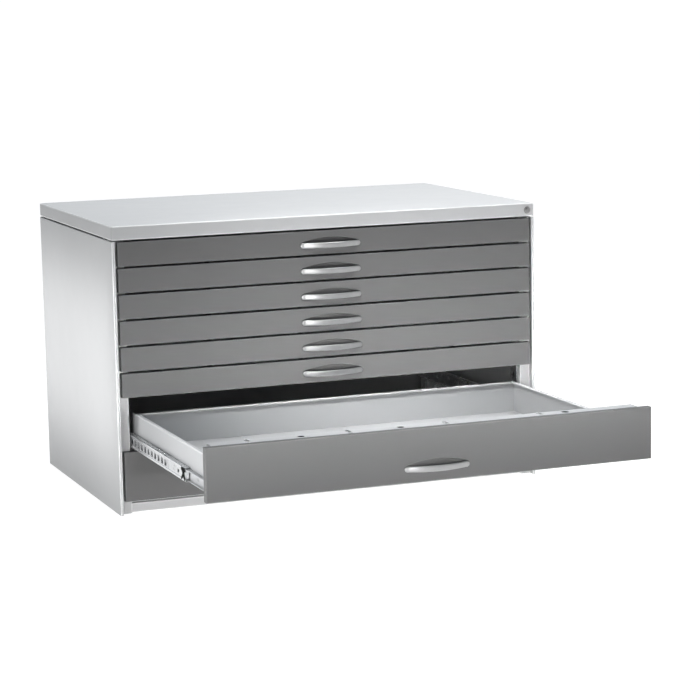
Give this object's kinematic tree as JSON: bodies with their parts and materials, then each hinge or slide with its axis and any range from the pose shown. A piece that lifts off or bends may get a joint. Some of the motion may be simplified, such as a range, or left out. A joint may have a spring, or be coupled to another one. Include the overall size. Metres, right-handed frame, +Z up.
{
  "type": "flat file cabinet",
  "caption": "Low steel plan chest with shallow and deep drawers on telescopic slides, a folded top, bow handles and one deep drawer pulled out.",
  "frame": {"origin": "on the floor, at the middle of the whole part's footprint with the seventh drawer pulled out; the cabinet's own front plane is at y = -0.0213 m", "axes": "+X along the front to the viewer's right, +Y from the drawers' pull side to the back, +Z up"},
  "size_m": [1.2, 1.4874, 0.76],
  "materials": {
    "body_paint": "light grey powder coat, fine orange peel, satin",
    "front_paint": "mid grey powder coat, fine texture, satin",
    "tray_paint": "light grey powder coat, satin",
    "handle_metal": "satin cast silver",
    "zinc": "bright zinc plated sheet",
    "black_plastic": "matt black moulded plastic",
    "nickel": "satin nickel plate"
  },
  "bodies": {
    "cabinet": {"top_plate": "body_paint", "left_side_panel": "body_paint", "right_side_panel": "body_paint", "back_panel": "body_paint", "base_pan": "body_paint", "front_plinth_rail": "body_paint", "rear_plinth_rail": "body_paint", "upper_front_rail": "body_paint", "upper_rear_rail": "body_paint", "left_slide_rack": "zinc", "right_slide_rack": "zinc", "lock_barrel": "nickel"},
    "drawer_1": {"front_panel_1": "front_paint", "tray_1": "tray_paint", "handle_1": "handle_metal"},
    "drawer_2": {"front_panel_2": "front_paint", "tray_2": "tray_paint", "handle_2": "handle_metal"},
    "drawer_3": {"front_panel_3": "front_paint", "tray_3": "tray_paint", "handle_3": "handle_metal"},
    "drawer_4": {"front_panel_4": "front_paint", "tray_4": "tray_paint", "handle_4": "handle_metal"},
    "drawer_5": {"front_panel_5": "front_paint", "tray_5": "tray_paint", "handle_5": "handle_metal"},
    "drawer_6": {"front_panel_6": "front_paint", "tray_6": "tray_paint", "handle_6": "handle_metal"},
    "drawer_7": {"front_panel_7": "front_paint", "tray_7": "tray_paint", "handle_7": "handle_metal"},
    "drawer_8": {"front_panel_8": "front_paint", "tray_8": "tray_paint", "handle_8": "handle_metal"},
    "middle_slides_1": {"middle_slide_left_1": "zinc", "middle_slide_right_1": "zinc"},
    "middle_slides_2": {"middle_slide_left_2": "zinc", "middle_slide_right_2": "zinc"},
    "middle_slides_3": {"middle_slide_left_3": "zinc", "middle_slide_right_3": "zinc"},
    "middle_slides_4": {"middle_slide_left_4": "zinc", "middle_slide_right_4": "zinc"},
    "middle_slides_5": {"middle_slide_left_5": "zinc", "middle_slide_right_5": "zinc"},
    "middle_slides_6": {"middle_slide_left_6": "zinc", "middle_slide_right_6": "zinc"},
    "middle_slides_7": {"middle_slide_left_7": "zinc", "middle_slide_right_7": "zinc", "lever_left_7": "black_plastic", "lever_right_7": "black_plastic"},
    "middle_slides_8": {"middle_slide_left_8": "zinc", "middle_slide_right_8": "zinc"},
    "lock_plug": {"lock_plug": "nickel"},
    "lock_bar": {"lock_bar": "zinc"}
  },
  "joints": [
    {"name": "drawer_1_slide", "type": "slide", "parent": "cabinet", "child": "drawer_1", "axis": [0, -1, 0], "range_m": [0, 0.7]},
    {"name": "drawer_2_slide", "type": "slide", "parent": "cabinet", "child": "drawer_2", "axis": [0, -1, 0], "range_m": [0, 0.7]},
    {"name": "drawer_3_slide", "type": "slide", "parent": "cabinet", "child": "drawer_3", "axis": [0, -1, 0], "range_m": [0, 0.7]},
    {"name": "drawer_4_slide", "type": "slide", "parent": "cabinet", "child": "drawer_4", "axis": [0, -1, 0], "range_m": [0, 0.7]},
    {"name": "drawer_5_slide", "type": "slide", "parent": "cabinet", "child": "drawer_5", "axis": [0, -1, 0], "range_m": [0, 0.7]},
    {"name": "drawer_6_slide", "type": "slide", "parent": "cabinet", "child": "drawer_6", "axis": [0, -1, 0], "range_m": [0, 0.7]},
    {"name": "drawer_7_slide", "type": "slide", "parent": "cabinet", "child": "drawer_7", "axis": [0, -1, 0], "range_m": [-0.7, 0]},
    {"name": "drawer_8_slide", "type": "slide", "parent": "cabinet", "child": "drawer_8", "axis": [0, -1, 0], "range_m": [0, 0.7]},
    {"name": "middle_slides_1_slide", "type": "slide", "parent": "cabinet", "child": "middle_slides_1", "axis": [0, -1, 0], "range_m": [0, 0.4901]},
    {"name": "middle_slides_2_slide", "type": "slide", "parent": "cabinet", "child": "middle_slides_2", "axis": [0, -1, 0], "range_m": [0, 0.4901]},
    {"name": "middle_slides_3_slide", "type": "slide", "parent": "cabinet", "child": "middle_slides_3", "axis": [0, -1, 0], "range_m": [0, 0.4901]},
    {"name": "middle_slides_4_slide", "type": "slide", "parent": "cabinet", "child": "middle_slides_4", "axis": [0, -1, 0], "range_m": [0, 0.4901]},
    {"name": "middle_slides_5_slide", "type": "slide", "parent": "cabinet", "child": "middle_slides_5", "axis": [0, -1, 0], "range_m": [0, 0.4901]},
    {"name": "middle_slides_6_slide", "type": "slide", "parent": "cabinet", "child": "middle_slides_6", "axis": [0, -1, 0], "range_m": [0, 0.4901]},
    {"name": "middle_slides_7_slide", "type": "slide", "parent": "cabinet", "child": "middle_slides_7", "axis": [0, -1, 0], "range_m": [-0.4901, 0]},
    {"name": "middle_slides_8_slide", "type": "slide", "parent": "cabinet", "child": "middle_slides_8", "axis": [0, -1, 0], "range_m": [0, 0.4901]},
    {"name": "lock_turn", "type": "hinge", "parent": "cabinet", "child": "lock_plug", "pos_m": [0.579, -0.0213, 0.741], "axis": [0, 1, 0], "range_deg": [0, 90]},
    {"name": "lock_bar_lift", "type": "slide", "parent": "cabinet", "child": "lock_bar", "axis": [0, 0, 1], "range_m": [0, 0.0113]}
  ],
  "couplings": [
    {"joint": "middle_slides_1_slide", "follows": "drawer_1_slide", "ratio": 0.7},
    {"joint": "middle_slides_2_slide", "follows": "drawer_2_slide", "ratio": 0.7},
    {"joint": "middle_slides_3_slide", "follows": "drawer_3_slide", "ratio": 0.7},
    {"joint": "middle_slides_4_slide", "follows": "drawer_4_slide", "ratio": 0.7},
    {"joint": "middle_slides_5_slide", "follows": "drawer_5_slide", "ratio": 0.7},
    {"joint": "middle_slides_6_slide", "follows": "drawer_6_slide", "ratio": 0.7},
    {"joint": "middle_slides_7_slide", "follows": "drawer_7_slide", "ratio": 0.7},
    {"joint": "middle_slides_8_slide", "follows": "drawer_8_slide", "ratio": 0.7},
    {"joint": "lock_turn", "follows": "lock_bar_lift", "rad_per_m": 138.84}
  ]
}
